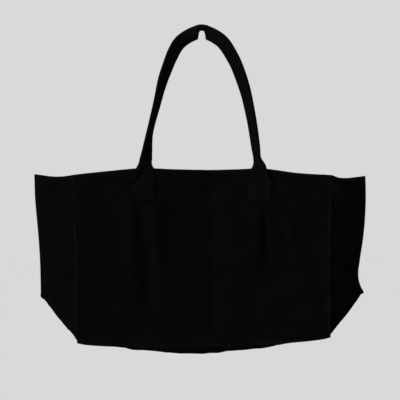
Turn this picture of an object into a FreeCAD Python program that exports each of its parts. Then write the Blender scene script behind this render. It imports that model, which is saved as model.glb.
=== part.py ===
"""Canvas tote bag, hanging by its two handles.

Millimetres. +Z is up, the front panel faces -Y, and +X is to the right of someone facing it.
The origin is the underside of the handles, at the point where they hang on a hook.
The empty bag hangs with its front and back panels leaning together at the mouth. Its side
gussets stick out in a wing at each end, and the lower corner of each gusset folds under.
"""

import math
import os

import FreeCAD
import Part

Vec = FreeCAD.Vector

# --- Driving dimensions -----------------------------------------------------------------
CANVAS = 1.2                 # thickness of one layer of cloth
CLEAR = 0.6                  # half of the space left between two panels at a ridge seam
SEAM_CLEAR = 2.4             # the same at a side seam, where the panels meet at a sharp angle

PANEL_WIDTH = 438.0          # front or back panel, from ridge seam to ridge seam
PANEL_BOTTOM_Z = -548.0      # lower edge of the front and back panels
RIM_Z = -247.0               # the rim between the handles
RIM_RAISED_WIDTH = 220.0     # how much of the rim the handles hold up
RIM_END_Z = -259.0           # the rim at the ridge seams and at the side seams
RIM_HALF_GAPE = 35.0         # from the middle of the bag to a panel, at the rim
BASE_HALF_GAPE = 65.0        # the same, at the lower edge

MOUTH_WIDTH = 576.0          # from one side seam to the other, at the rim
FOLD_WIDTH = 562.0           # the same, where the gusset folds under
FOLD_Z = -472.0              # height of that fold at the side seam
TUCK_HALF_WIDTH = 201.0      # middle of a corner seam, tucked up inside
TUCK_Z = -501.0
KEEL_Z = -568.0              # lowest line of the sagging base
KEEL_HALF_LENGTH = 110.0

HEM_DEPTH = 35.0             # how far the rim is turned in
HEM_THICKNESS = 1.6
THREAD = 0.8

HANDLE_HALF_SPACING = 102.0  # from the middle of the bag to the middle of a handle end
STRAP_WIDTH = 40.0           # the strap laid flat
STRAP_THICKNESS = 3.0
STRAP_FOLDED_WIDTH = 24.0    # the strap folded along its length, as it hangs
STRAP_FOLDED_THICKNESS = 6.2
TAB_LENGTH = 53.0            # how much of each strap end is sewn down
STRAP_RIM_WIDTH = 30.0       # the strap where it leaves the rim, before it folds
STRAP_START = 3.0            # height above the rim where the free part of the strap starts
STRAP_SPREAD = 45.0          # height over which it folds
STRAP_GAP = 0.7              # from the middle of the bag to a strap, at the hook

RIDGE_WIDTH = 1.8
RIDGE_HEIGHT = 2.6
BINDING_WIDTH = 8.0
BINDING_THICKNESS = 2.0

# --- Worked out from them ---------------------------------------------------------------
HALF_PANEL = PANEL_WIDTH / 2
HALF_RAISED = RIM_RAISED_WIDTH / 2
LEAN = (BASE_HALF_GAPE - RIM_HALF_GAPE) / (RIM_Z - PANEL_BOTTOM_Z)
SIDES = {"front": -1, "back": 1}
ENDS = {"left": -1, "right": 1}


def save(name, shape):
    """Writes one sub-part, and says what it is."""
    shape.exportStep("parts/" + name + ".step")
    print("%-32s solids %d  volume %9.0f mm3  valid %s"
          % (name, len(shape.Solids), shape.Volume, shape.isValid()))


def wall_half_gape(z):
    """How far a panel's outer face is from the middle of the bag, at height z."""
    return RIM_HALF_GAPE + LEAN * (RIM_Z - z)


def on_wall(side, x, z, out=0.0):
    """A point of the front (-1) or back (1) wall, moved out from its outer face."""
    normal = Vec(0, side, LEAN)
    normal.normalize()
    return Vec(x, side * wall_half_gape(z), z) + normal * out


def wall_prism(side, outline, inner, outer):
    """A plate parallel to a wall: an outline of (x, z) points, from inner to outer."""
    points = [on_wall(side, x, z, inner) for x, z in outline]
    face = Part.Face(Part.makePolygon(points + points[:1]))
    normal = on_wall(side, 0, 0, outer) - on_wall(side, 0, 0, inner)
    return face.extrude(normal)


def wall_rectangle(side, x0, x1, z0, z1, inner, outer):
    return wall_prism(side, [(x0, z0), (x1, z0), (x1, z1), (x0, z1)], inner, outer)


def rim_line(depth, edge=0.0):
    """The rim of a panel, from left to right, lowered by depth and shortened by edge."""
    end = HALF_PANEL - edge
    heights = [(-end, RIM_END_Z), (-HALF_RAISED, RIM_Z), (HALF_RAISED, RIM_Z), (end, RIM_END_Z)]
    return [(x, z - depth) for x, z in heights]


def rim_band(side, top, bottom, edge, inner, outer):
    """A band that follows the rim, between two depths below it."""
    outline = rim_line(top, edge) + list(reversed(rim_line(bottom, edge)))
    return wall_prism(side, outline, inner, outer)


def thick_sheet(points, triangles, inward):
    """A folded sheet of canvas: its outer corners, its triangles, and a point it faces away from."""
    normals = [Vec(0, 0, 0) for _ in points]
    outer = []
    for a, b, c in triangles:
        normal = (points[b] - points[a]).cross(points[c] - points[a])
        middle = (points[a] + points[b] + points[c]) / 3
        if normal.dot(inward - middle) > 0:
            b, c = c, b
            normal = normal * -1
        normal.normalize()
        outer.append((a, b, c))
        for corner in (a, b, c):
            normals[corner] += normal
    inner_points = []
    for point, normal in zip(points, normals):
        normal.normalize()
        inner_points.append(point - normal * CANVAS)

    def face(*corners):
        return Part.Face(Part.makePolygon(list(corners) + [corners[0]]))

    faces = []
    edges = []
    for a, b, c in outer:
        faces.append(face(points[a], points[b], points[c]))
        faces.append(face(inner_points[a], inner_points[c], inner_points[b]))
        edges += [(a, b), (b, c), (c, a)]
    for a, b in edges:
        if (b, a) not in edges:
            faces.append(face(points[a], inner_points[a], points[b]))
            faces.append(face(points[b], inner_points[a], inner_points[b]))
    return Part.makeSolid(Part.makeShell(faces))


def drawn_in(points, distance):
    """The same corners, each moved towards their middle, so that two sheets stay clear."""
    middle = Vec(0, 0, 0)
    for point in points:
        middle += point
    middle /= len(points)
    moved = []
    for point in points:
        step = middle - point
        step.normalize()
        moved.append(point + step * distance)
    return moved


# --- Panels -----------------------------------------------------------------------------
def make_panel(side):
    edge = HALF_PANEL - CLEAR
    outline = rim_line(0, CLEAR) + [(edge, PANEL_BOTTOM_Z), (-edge, PANEL_BOTTOM_Z)]
    return wall_prism(side, outline, -CANVAS, 0)


def make_hem(side):
    inner = -CANVAS - 0.1 - HEM_THICKNESS
    return rim_band(side, 0.5, HEM_DEPTH, 4, inner, -CANVAS - 0.1)


def make_hem_stitching(side):
    rows = [3.0, HEM_DEPTH - 3.0]
    bands = [rim_band(side, row, row + THREAD, 6, 0.05, 0.05 + THREAD) for row in rows]
    return Part.makeCompound([cut_for_tabs(side, band) for band in bands])


def cut_for_tabs(side, band):
    """Hem stitching stops at the handle ends, which lie over it."""
    for end in ENDS.values():
        middle = end * HANDLE_HALF_SPACING
        reach = STRAP_WIDTH / 2 + 1
        tab = wall_rectangle(side, middle - reach, middle + reach,
                             RIM_Z - TAB_LENGTH - 2, RIM_Z + 2, -1, STRAP_THICKNESS)
        band = band.cut(tab)
    return band


def make_ridge(side, end):
    """The raised, stitched edge between a panel and a gusset."""
    outer = end * (HALF_PANEL - CLEAR)
    inner = outer - end * RIDGE_WIDTH
    return wall_rectangle(side, inner, outer, PANEL_BOTTOM_Z + 2, RIM_END_Z - 1, 0.1, RIDGE_HEIGHT)


# --- Gussets and base -------------------------------------------------------------------
def gusset_corners(side, end):
    """Corners of half a gusset: rim at the ridge, rim at the side seam, fold, base corner."""
    ridge_x = end * (HALF_PANEL + CLEAR)
    return [
        Vec(ridge_x, side * wall_half_gape(RIM_END_Z), RIM_END_Z),
        Vec(end * MOUTH_WIDTH / 2, side * SEAM_CLEAR, RIM_END_Z),
        Vec(end * FOLD_WIDTH / 2, side * SEAM_CLEAR, FOLD_Z),
        Vec(ridge_x, side * wall_half_gape(PANEL_BOTTOM_Z), PANEL_BOTTOM_Z),
    ]


def make_gusset_half(side, end):
    inside = Vec(0, 0, (RIM_Z + PANEL_BOTTOM_Z) / 2)
    return thick_sheet(gusset_corners(side, end), [(0, 1, 2), (0, 2, 3)], inside)


def between(a, b, share):
    return a + (b - a) * share


def make_gusset_hem(end):
    """The rim turned in along both halves of a gusset, just inside them."""
    solids = []
    for side in SIDES.values():
        ridge, seam, fold, _ = gusset_corners(side, end)
        share = HEM_DEPTH / (RIM_END_Z - FOLD_Z)
        corners = [ridge, seam, between(seam, fold, share), between(ridge, fold, share)]
        face = Part.Face(Part.makePolygon([*drawn_in(corners, 5), drawn_in(corners, 5)[0]]))
        inward = (seam - ridge).cross(fold - ridge)
        inward.normalize()
        if inward.y * side > 0:
            inward = inward * -1
        face.translate(inward * (CANVAS + 0.3))
        solids.append(face.extrude(inward * HEM_THICKNESS))
    return Part.makeCompound(solids)


def make_corner_flap(end):
    """The triangle of each gusset half that folds under, up to the corner seam."""
    fold = Vec(end * (FOLD_WIDTH / 2 - 6), 0, FOLD_Z - 6)
    tuck = Vec(end * (TUCK_HALF_WIDTH + 2), 0, TUCK_Z - 1)
    low_x = end * (HALF_PANEL + 1)
    low_y = wall_half_gape(PANEL_BOTTOM_Z) - 4
    front = Vec(low_x, -low_y, PANEL_BOTTOM_Z)
    back = Vec(low_x, low_y, PANEL_BOTTOM_Z)
    above = Vec(end * HALF_PANEL, 0, FOLD_Z + 200)
    return thick_sheet([fold, front, tuck, back], [(0, 1, 2), (0, 2, 3)], above)


def make_base():
    """The base sags to a keel along its middle, and its ends rise to the tucked corner seams."""
    half_gape = wall_half_gape(PANEL_BOTTOM_Z) - 2
    end_x = HALF_PANEL - 4
    edge_x = [-end_x, -KEEL_HALF_LENGTH, KEEL_HALF_LENGTH, end_x]
    front = [Vec(x, -half_gape, PANEL_BOTTOM_Z - 1) for x in edge_x]
    back = [Vec(x, half_gape, PANEL_BOTTOM_Z - 1) for x in edge_x]
    tuck_x = TUCK_HALF_WIDTH - 3
    keel = [
        Vec(-tuck_x, 0, TUCK_Z - 3),
        Vec(-KEEL_HALF_LENGTH, 0, KEEL_Z + 6),
        Vec(KEEL_HALF_LENGTH, 0, KEEL_Z + 6),
        Vec(tuck_x, 0, TUCK_Z - 3),
    ]
    keel_middle = Vec(0, 0, KEEL_Z)
    points = front + keel + back + [keel_middle]
    triangles = [
        (0, 1, 4), (1, 5, 4), (2, 7, 6), (2, 3, 7), (1, 12, 5), (1, 2, 12), (2, 6, 12),
        (8, 4, 9), (4, 5, 9), (6, 7, 10), (7, 11, 10), (5, 12, 9), (9, 12, 10), (12, 6, 10),
    ]
    return thick_sheet(points, triangles, Vec(0, 0, RIM_Z + 2000))


# --- Seams inside the bag ---------------------------------------------------------------
def make_side_binding(end):
    """The bound allowance of a side seam, standing inwards from it."""
    away = 10.0
    top = Vec(end * (MOUTH_WIDTH / 2 - away), 0, RIM_END_Z - HEM_DEPTH - 10)
    low = Vec(end * (FOLD_WIDTH / 2 - away), 0, FOLD_Z + 12)
    inward = Vec(-end * BINDING_WIDTH, 0, 0)
    half = Vec(0, BINDING_THICKNESS / 2, 0)
    points = [top - half, top + inward - half, low + inward - half, low - half]
    face = Part.Face(Part.makePolygon(points + points[:1]))
    return face.extrude(half * 2)


def make_corner_binding(end):
    """The bound allowance of a corner seam, standing up inside along both its halves."""
    solids = []
    for side in SIDES.values():
        low = Vec(end * (HALF_PANEL - 5), side * (wall_half_gape(PANEL_BOTTOM_Z) - 9), PANEL_BOTTOM_Z + 9)
        top = Vec(end * TUCK_HALF_WIDTH, side * 3, TUCK_Z + 5)
        up = Vec(0, 0, BINDING_WIDTH)
        face = Part.Face(Part.makePolygon([low, top, top + up, low + up, low]))
        solids.append(face.extrude(Vec(end * BINDING_THICKNESS, 0, 0)))
    return Part.makeCompound(solids)


def make_base_binding(side):
    """The bound allowance of a base seam, standing up inside the lower edge of a panel."""
    reach = HALF_PANEL - 50
    inner = -CANVAS - 0.8 - BINDING_THICKNESS
    low = PANEL_BOTTOM_Z + 3.5
    return wall_rectangle(side, -reach, reach, low, low + BINDING_WIDTH, inner, -CANVAS - 0.8)


# --- Handles ----------------------------------------------------------------------------
def make_tab(side, end):
    """The flat end of a strap, sewn to the outside of the panel under the rim."""
    middle = end * HANDLE_HALF_SPACING
    return wall_rectangle(side, middle - STRAP_WIDTH / 2, middle + STRAP_WIDTH / 2,
                          RIM_Z - TAB_LENGTH, RIM_Z, 0.1, STRAP_THICKNESS)


def make_tab_stitching(side, end):
    """A box of thread across the lower part of a handle end, with one row through it."""
    middle = end * HANDLE_HALF_SPACING
    half = STRAP_WIDTH / 2 - 2.5
    low = RIM_Z - TAB_LENGTH + 2.5
    high = low + 15
    inner = STRAP_THICKNESS + 0.1
    outer = inner + THREAD
    box = wall_rectangle(side, middle - half, middle + half, low, high, inner, outer)
    hole = wall_rectangle(side, middle - half + THREAD, middle + half - THREAD,
                          low + THREAD, high - THREAD, inner - 1, outer + 1)
    row_z = (low + high) / 2
    row = wall_rectangle(side, middle - half, middle + half, row_z, row_z + THREAD, inner, outer)
    return box.cut(hole).fuse(row)


def strap_section(centre, tangent, twist, width, thickness):
    """A flat-sided section with cut corners, turned about the strap's own line."""
    across = Vec(0, 1, 0).cross(tangent)
    across.normalize()
    thin = tangent.cross(across)
    wide_way = across * math.cos(twist) + thin * math.sin(twist)
    thin_way = thin * math.cos(twist) - across * math.sin(twist)
    half_w = width / 2
    half_t = thickness / 2
    cut = half_t * 0.5
    corners = [
        (half_w, half_t - cut), (half_w - cut, half_t), (cut - half_w, half_t), (-half_w, half_t - cut),
        (-half_w, cut - half_t), (cut - half_w, -half_t), (half_w - cut, -half_t), (half_w, cut - half_t),
    ]
    points = [centre + wide_way * w + thin_way * t for w, t in corners]
    return Part.makePolygon(points + points[:1])


def smooth(value, low, high):
    """0 below low, 1 above high, and an even curve between."""
    share = min(max((value - low) / (high - low), 0), 1)
    return share * share * (3 - 2 * share)


def make_handle(side):
    """One strap, from the rim up over the hook and down again. It twists to lie flat on the hook."""
    hook_y = STRAP_GAP + STRAP_FOLDED_WIDTH / 2
    hook_z = STRAP_FOLDED_THICKNESS / 2
    start_z = RIM_Z + STRAP_START
    start_y = wall_half_gape(RIM_Z) + 0.3 + STRAP_THICKNESS / 2
    poles = [(0, hook_z), (41, hook_z), (85, -112), (HANDLE_HALF_SPACING, start_z)]
    lean = (start_y - hook_y) / (hook_z - start_z)
    curve = Part.BezierCurve()
    curve.setPoles([Vec(x, side * (hook_y + lean * (hook_z - z)), z) for x, z in poles])
    steps = 16
    flat_until = 2.0
    turned_by = 26.0
    right = []
    left = []
    for step in range(steps + 1):
        share = (step / steps) ** 1.3
        centre = curve.value(share)
        tangent = curve.tangent(share)[0]
        twist = (1 - smooth(centre.x, flat_until, turned_by)) * math.pi / 2
        folded = smooth(centre.z - start_z, 0, STRAP_SPREAD)
        width = STRAP_RIM_WIDTH + (STRAP_FOLDED_WIDTH - STRAP_RIM_WIDTH) * folded
        thickness = STRAP_THICKNESS + (STRAP_FOLDED_THICKNESS - STRAP_THICKNESS) * folded
        right.append(strap_section(centre, tangent, twist, width, thickness))
        if step > 0:
            over = Vec(-centre.x, centre.y, centre.z)
            back = Vec(tangent.x, -tangent.y, -tangent.z)
            left.append(strap_section(over, back, -twist, width, thickness))
    return Part.makeLoft(left[::-1] + right, True, True)


# --- Everything, one file each ----------------------------------------------------------
os.makedirs("parts", exist_ok=True)

for side_name, side in SIDES.items():
    save(side_name + "_panel", make_panel(side))
    save(side_name + "_hem", make_hem(side))
    save(side_name + "_hem_stitching", make_hem_stitching(side))
    save(side_name + "_base_binding", make_base_binding(side))
    save(side_name + "_handle_strap", make_handle(side))
    for end_name, end in ENDS.items():
        where = side_name + "_" + end_name
        save(where + "_handle_end", make_tab(side, end))
        save(where + "_handle_stitching", make_tab_stitching(side, end))
        save(where + "_ridge_seam", make_ridge(side, end))
        save(where + "_gusset", make_gusset_half(side, end))

for end_name, end in ENDS.items():
    save(end_name + "_gusset_hem", make_gusset_hem(end))
    save(end_name + "_corner_flap", make_corner_flap(end))
    save(end_name + "_side_binding", make_side_binding(end))
    save(end_name + "_corner_binding", make_corner_binding(end))

save("base_panel", make_base())
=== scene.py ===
"""A black canvas tote bag hanging by its two handles: cloth, hems, seams, straps and stitching.

Metres. +Z is up and the front faces -Y. The shell is one cloth, sewn like an open box, which
hangs from the lines that hold it: rim, side seams, ridges and corners. When it has settled it
is cut into its panels, and everything that is sewn to a panel is laid along that panel's cloth.
"""

import math

import bpy
import numpy as np
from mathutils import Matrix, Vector


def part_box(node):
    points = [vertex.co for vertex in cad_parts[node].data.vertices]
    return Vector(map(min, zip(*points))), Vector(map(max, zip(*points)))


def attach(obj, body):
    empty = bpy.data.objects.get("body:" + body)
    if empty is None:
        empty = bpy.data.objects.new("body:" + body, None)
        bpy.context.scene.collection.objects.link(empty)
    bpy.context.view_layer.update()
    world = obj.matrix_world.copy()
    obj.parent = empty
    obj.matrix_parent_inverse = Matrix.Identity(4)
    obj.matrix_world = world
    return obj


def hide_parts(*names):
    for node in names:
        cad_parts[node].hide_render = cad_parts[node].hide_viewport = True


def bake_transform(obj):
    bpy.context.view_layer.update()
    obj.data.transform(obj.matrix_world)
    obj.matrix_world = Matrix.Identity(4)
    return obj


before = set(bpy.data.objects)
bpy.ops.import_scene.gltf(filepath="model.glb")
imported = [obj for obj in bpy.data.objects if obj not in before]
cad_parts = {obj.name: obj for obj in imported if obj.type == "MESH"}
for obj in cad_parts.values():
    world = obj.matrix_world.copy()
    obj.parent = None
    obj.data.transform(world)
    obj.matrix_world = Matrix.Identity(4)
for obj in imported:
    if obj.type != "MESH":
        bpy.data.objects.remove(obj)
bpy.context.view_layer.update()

# --- How the cloth was cut, in cells ---
GUSSET_CELLS = 10
PANEL_CELLS = 55
HEIGHT_CELLS = 36
CELL = 0.165 / 2 / GUSSET_CELLS
DEPTH = 2 * GUSSET_CELLS * CELL
PANEL_WIDTH = PANEL_CELLS * CELL
HEIGHT = HEIGHT_CELLS * CELL
FINER = 3                    # the finished cloth has this many times as many cells each way
STEP = CELL / FINER
HALF = GUSSET_CELLS * FINER  # the column of finished cloth at a gusset's middle

CANVAS = 0.0012              # thickness of one layer
HEM_ROWS = 13                # rows of finished cloth that the hem covers
RIM_STITCH_ROW = 1
HEM_STITCH_ROW = 12
HANDLE_X = 0.102
STRAP_WIDTH = 0.04
STRAP_THICKNESS = 0.003
TAB_LENGTH = 0.0545          # how far a strap reaches down the panel
LAID_ON = 0.0001             # gap between a piece and the cloth it lies on
STITCH_PITCH = 0.0032
THREAD_RADIUS = 0.00036
SETTLING_FRAMES = 30
SHARP_ANGLE = math.radians(55)
EASING_PASSES = 6
OUTSIDE = CANVAS / 2 + 0.00008               # where stitches lie, out from a panel's middle
INSIDE_HEM = -CANVAS * 1.5 - LAID_ON - 0.00008

# --- Where the bag hangs ---
RIM_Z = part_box("front_panel")[1].z
FRONT, BACK = -1, 1
LEFT, RIGHT = -1, 1
SIDES = {"front": FRONT, "back": BACK}
ENDS = {"left": LEFT, "right": RIGHT}
BODY = {"front": "front", "back": "root"}

# Each is how far out a corner is along X and Y, and its height.
RIM_CORNER = {LEFT: (0.2245, 0.037, -0.2575), RIGHT: (0.2285, 0.037, -0.2582)}
SEAM_TOP = {LEFT: (0.299, 0, -0.2562), RIGHT: (0.2915, 0, -0.259)}
FOLD = {LEFT: (0.2872, 0, -0.4745), RIGHT: (0.2885, 0, -0.4665)}
BASE_CORNER = {LEFT: (0.2155, 0.065, -0.55), RIGHT: (0.2215, 0.065, -0.54)}
EDGE_SAG = 0.01              # how far a panel's lower edge hangs below its corners
HULL_DEPTH = 0.0198          # how far the base hangs below the panels' lower edges
TUCK = {LEFT: (0.199, 0, -0.504), RIGHT: (0.203, 0, -0.494)}


def place(table, end, side=1):
    x, y, z = table[end]
    return np.array([end * x, side * y, z])


def smooth(value, low, high):
    """0 below low, 1 above high, and an even curve between."""
    share = np.clip((value - low) / (high - low), 0, 1)
    return share * share * (3 - 2 * share)


def hump(value, middle, width):
    """1 at middle, falling evenly to 0 at width away from it."""
    return 1 - smooth(np.abs(value - middle), 0, width)


def lerp(a, b, share):
    return a + (b - a) * share


def unit(vectors):
    return vectors / np.linalg.norm(vectors, axis=-1, keepdims=True)


def square_to(vectors, along):
    """The part of each vector that is square to the one along it, as a unit vector."""
    return unit(vectors - along * (vectors * along).sum(-1, keepdims=True))


def lengths_along(path):
    """How far along a path each of its points is."""
    return np.concatenate([[0], np.cumsum(np.linalg.norm(np.diff(path, axis=0), axis=1))])


def add_object(name, data):
    obj = bpy.data.objects.new(name, data)
    bpy.context.scene.collection.objects.link(obj)
    return obj


def through(stops, at):
    """A smooth curve through stops, each of which gives its place along and then its values."""
    stops = np.array(stops, float)
    knots, values = stops[:, 0], stops[:, 1:]
    slopes = np.gradient(values, knots, axis=0)
    at = np.clip(np.atleast_1d(at), knots[0], knots[-1])
    i = np.clip(np.searchsorted(knots, at) - 1, 0, len(knots) - 2)
    span = (knots[i + 1] - knots[i])[:, None]
    t = (at - knots[i])[:, None] / span
    a, b = values[i], values[i + 1]
    rise_a, rise_b = slopes[i] * span, slopes[i + 1] * span
    return (a * (2 * t**3 - 3 * t**2 + 1) + rise_a * (t**3 - 2 * t**2 + t)
            + b * (3 * t**2 - 2 * t**3) + rise_b * (t**3 - t**2))


def waves(seed, longest, shortest, count=28):
    """A smooth random surface of two coordinates, about -1 to 1, with waves of these lengths."""
    draw = np.random.default_rng(seed)
    length = np.exp(draw.uniform(math.log(shortest), math.log(longest), count))
    turn = draw.uniform(0, 2 * math.pi, count)
    start = draw.uniform(0, 2 * math.pi, count)
    size = 1.6 / math.sqrt(count)

    def height(u, v):
        total = np.zeros(np.broadcast(u, v).shape)
        for i in range(count):
            along = math.cos(turn[i]) * u + math.sin(turn[i]) * v
            total = total + np.cos(2 * math.pi * along / length[i] + start[i])
        return total * size

    return height


# --- The hung shape, before the cloth settles ---
def rim_point(side, share):
    """A point of the front or back rim, share 0 at the left ridge and 1 at the right one."""
    left, right = place(RIM_CORNER, LEFT), place(RIM_CORNER, RIGHT)
    middle = 0.012 if side == FRONT else -0.015
    stops = [
        (left[0], left[1], left[2]),
        (-0.165, 0.0355, -0.2512),
        (-HANDLE_X, 0.0345, -0.246),
        (-0.05, 0.031, -0.2478),
        (middle, 0.0245, -0.2486),
        (0.06, 0.0315, -0.248),
        (HANDLE_X, 0.0345, -0.2466),
        (0.17, 0.036, -0.2548),
        (right[0], right[1], right[2]),
    ]
    x = lerp(left[0], right[0], np.atleast_1d(share))
    y, z = through(stops, x).T
    return np.stack([x, side * y, z], axis=1)


def ridge_point(side, end, share):
    """A point of a ridge seam, share 0 at the rim and 1 at the base corner."""
    top, low = place(RIM_CORNER, end, side), place(BASE_CORNER, end, side)
    share = np.atleast_1d(share)[:, None]
    bow = {LEFT: 0.005, RIGHT: 0.009}[end]
    inwards = {LEFT: 0.002, RIGHT: 0.004}[end]
    return lerp(top, low, share) + np.sin(math.pi * share) * np.array([-end * inwards, side * bow, 0])


def crease_point(side, share):
    """A point of the lower edge of a panel, share 0 at the left corner."""
    left, right = place(BASE_CORNER, LEFT, side), place(BASE_CORNER, RIGHT, side)
    share = np.atleast_1d(share)[:, None]
    arch = 4 * share * (1 - share)
    bowed = arch * np.array([0, side * 0.0045, 0])
    return lerp(left, right, share) + bowed + arch ** 0.6 * np.array([0, 0, -EDGE_SAG])


def panel_point(side, across, down):
    """The hung panel: a sheet stretched between its rim, ridges and lower edge."""
    across, down = np.atleast_1d(across), np.atleast_1d(down)
    top, low = rim_point(side, across), crease_point(side, across)
    left, right = ridge_point(side, LEFT, down), ridge_point(side, RIGHT, down)
    u, v = across[:, None], down[:, None]
    corners = (lerp(place(RIM_CORNER, LEFT, side), place(RIM_CORNER, RIGHT, side), u) * (1 - v)
               + lerp(place(BASE_CORNER, LEFT, side), place(BASE_CORNER, RIGHT, side), u) * v)
    return top * (1 - v) + low * v + left * (1 - u) + right * u - corners


def side_seam_point(end, share):
    """A point of a side seam, share 0 at the rim and 1 at the fold at its foot."""
    if end == LEFT:
        stops = [(0.0, *place(SEAM_TOP, end)), (0.2, -0.2975, 0.001, -0.301),
                 (0.37, -0.294, -0.001, -0.3375), (0.57, -0.2905, 0.001, -0.381),
                 (0.82, -0.288, 0.001, -0.435), (1.0, *place(FOLD, end))]
    else:
        stops = [(0.0, *place(SEAM_TOP, end)), (0.2, 0.2922, 0.001, -0.301),
                 (0.37, 0.2905, 0.000, -0.3365), (0.54, 0.2868, -0.001, -0.372),
                 (0.7, 0.2815, -0.003, -0.4055), (0.85, 0.278, -0.006, -0.435),
                 (0.94, 0.2815, -0.004, -0.452), (1.0, *place(FOLD, end))]
    return through(stops, share)[0]


def gusset_point(end, across, down):
    """The hung gusset. across runs from the front ridge, 0, to the back ridge, 1."""
    side = FRONT if across <= 0.5 else BACK
    share = 2 * across if side == FRONT else 2 - 2 * across
    fold_down = 1 - share * (DEPTH / 2) / HEIGHT
    low = place(BASE_CORNER, end, side)
    on_fold = lerp(low, place(FOLD, end), share)
    if down > fold_down:
        under = (down - fold_down) / (1 - fold_down)
        return lerp(on_fold, lerp(low, place(TUCK, end), share), under)
    above = down / fold_down
    top = place(RIM_CORNER, end, side)
    ridge = ridge_point(side, end, above)[0]
    seam = side_seam_point(end, above)
    bulge = np.array([end * 0.3, side * 0.9, 0]) * 0.01 * math.sin(math.pi * share)
    straight = lerp(lerp(top, place(SEAM_TOP, end), share), on_fold, above)
    off_ridge = ridge - lerp(top, low, above)
    off_seam = seam - lerp(place(SEAM_TOP, end), place(FOLD, end), above)
    return straight + off_ridge * (1 - share) + off_seam * share + bulge * (1 - 0.7 * above)


def base_point(along, across):
    """The hung base: a hull that is deepest in the middle and tucks up at each end."""
    front, back = crease_point(FRONT, along)[0], crease_point(BACK, along)[0]
    middle = lerp(front, back, 0.5)
    towards_end = abs(2 * along - 1)
    end = LEFT if along < 0.5 else RIGHT
    rise = place(TUCK, end) - lerp(place(BASE_CORNER, end, 1), place(BASE_CORNER, end, -1), 0.5)
    pull = smooth(towards_end, 0.55, 1.0) ** 1.2
    deep = HULL_DEPTH * (1 - math.hypot(towards_end, 0.12)) / (1 - 0.12)
    share = 1 - abs(2 * across - 1)
    edge = front if across < 0.5 else back
    fullest = lerp(1.0, 0.45, smooth(towards_end, 0.35, 0.85))
    hull = np.array([0, 0, -max(deep, 0)]) * math.sin(math.pi / 2 * min(1, share / fullest))
    inwards = math.sin(share * math.pi / 2) * (1 - pull) + share * pull
    return lerp(edge, middle, inwards) + rise * pull * share + hull


# --- The shell as one cloth ---
def make_shell():
    """The shell's corners of cells by panel, where each is when sewn flat and hung, its faces."""
    index, sewn, hung = {}, [], []
    across_cells = 2 * GUSSET_CELLS

    def corner(i, j, k):
        """Cell corner i along, j from front to back, k down."""
        key = (i, j, k)
        if key not in index:
            index[key] = len(sewn)
            sewn.append(((i / PANEL_CELLS - 0.5) * PANEL_WIDTH, (j / across_cells - 0.5) * DEPTH,
                         RIM_Z - k * CELL))
            if k < HEIGHT_CELLS and j in (0, across_cells):
                side = FRONT if j == 0 else BACK
                hung.append(panel_point(side, i / PANEL_CELLS, k / HEIGHT_CELLS)[0])
            elif i in (0, PANEL_CELLS):
                end = LEFT if i == 0 else RIGHT
                hung.append(gusset_point(end, j / across_cells, k / HEIGHT_CELLS))
            else:
                hung.append(base_point(i / PANEL_CELLS, j / across_cells))
        return index[key]

    def grid(rows, columns, at):
        return np.array([[corner(*at(r, c)) for c in range(columns + 1)] for r in range(rows + 1)])

    grids = {
        "front": grid(HEIGHT_CELLS, PANEL_CELLS, lambda r, c: (c, 0, r)),
        "back": grid(HEIGHT_CELLS, PANEL_CELLS, lambda r, c: (PANEL_CELLS - c, across_cells, r)),
        "left": grid(HEIGHT_CELLS, across_cells, lambda r, c: (0, across_cells - c, r)),
        "right": grid(HEIGHT_CELLS, across_cells, lambda r, c: (PANEL_CELLS, c, r)),
        "base": grid(across_cells, PANEL_CELLS, lambda r, c: (c, r, HEIGHT_CELLS)),
    }
    faces = []
    for table in grids.values():
        for r in range(table.shape[0] - 1):
            for c in range(table.shape[1] - 1):
                faces.append((table[r, c], table[r + 1, c], table[r + 1, c + 1], table[r, c + 1]))
    faces = [tuple(int(v) for v in face) for face in faces]
    return grids, np.array(sewn), np.array(hung), faces


def held(grids):
    """How firmly each cell corner is held in its hung place, from 0 to 1."""
    hold = {}

    def pin(indices, weight):
        for v in np.ravel(indices):
            hold[int(v)] = max(hold.get(int(v), 0), weight)

    for side in SIDES:
        table = grids[side]
        pin(table[0], 1)
        pin(table[:, 0], 1)
        pin(table[:, -1], 1)
        tab_rows = round(TAB_LENGTH / CELL)
        for x in (-HANDLE_X, HANDLE_X):
            middle = round((x / PANEL_WIDTH + 0.5) * PANEL_CELLS)
            pin(table[:tab_rows + 1, middle - 2:middle + 3], 1)
    for end in ENDS:
        table = grids[end]
        pin(table[:HEIGHT_CELLS - GUSSET_CELLS + 1, GUSSET_CELLS], 1)
        pin(table[-1, [0, GUSSET_CELLS, -1]], 1)
        for j in range(1, GUSSET_CELLS):
            pin(table[HEIGHT_CELLS - j, [j, -1 - j]], 0.6)
    pin(grids["base"][2:-2, 1:-1], 0.4)
    return hold


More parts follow.
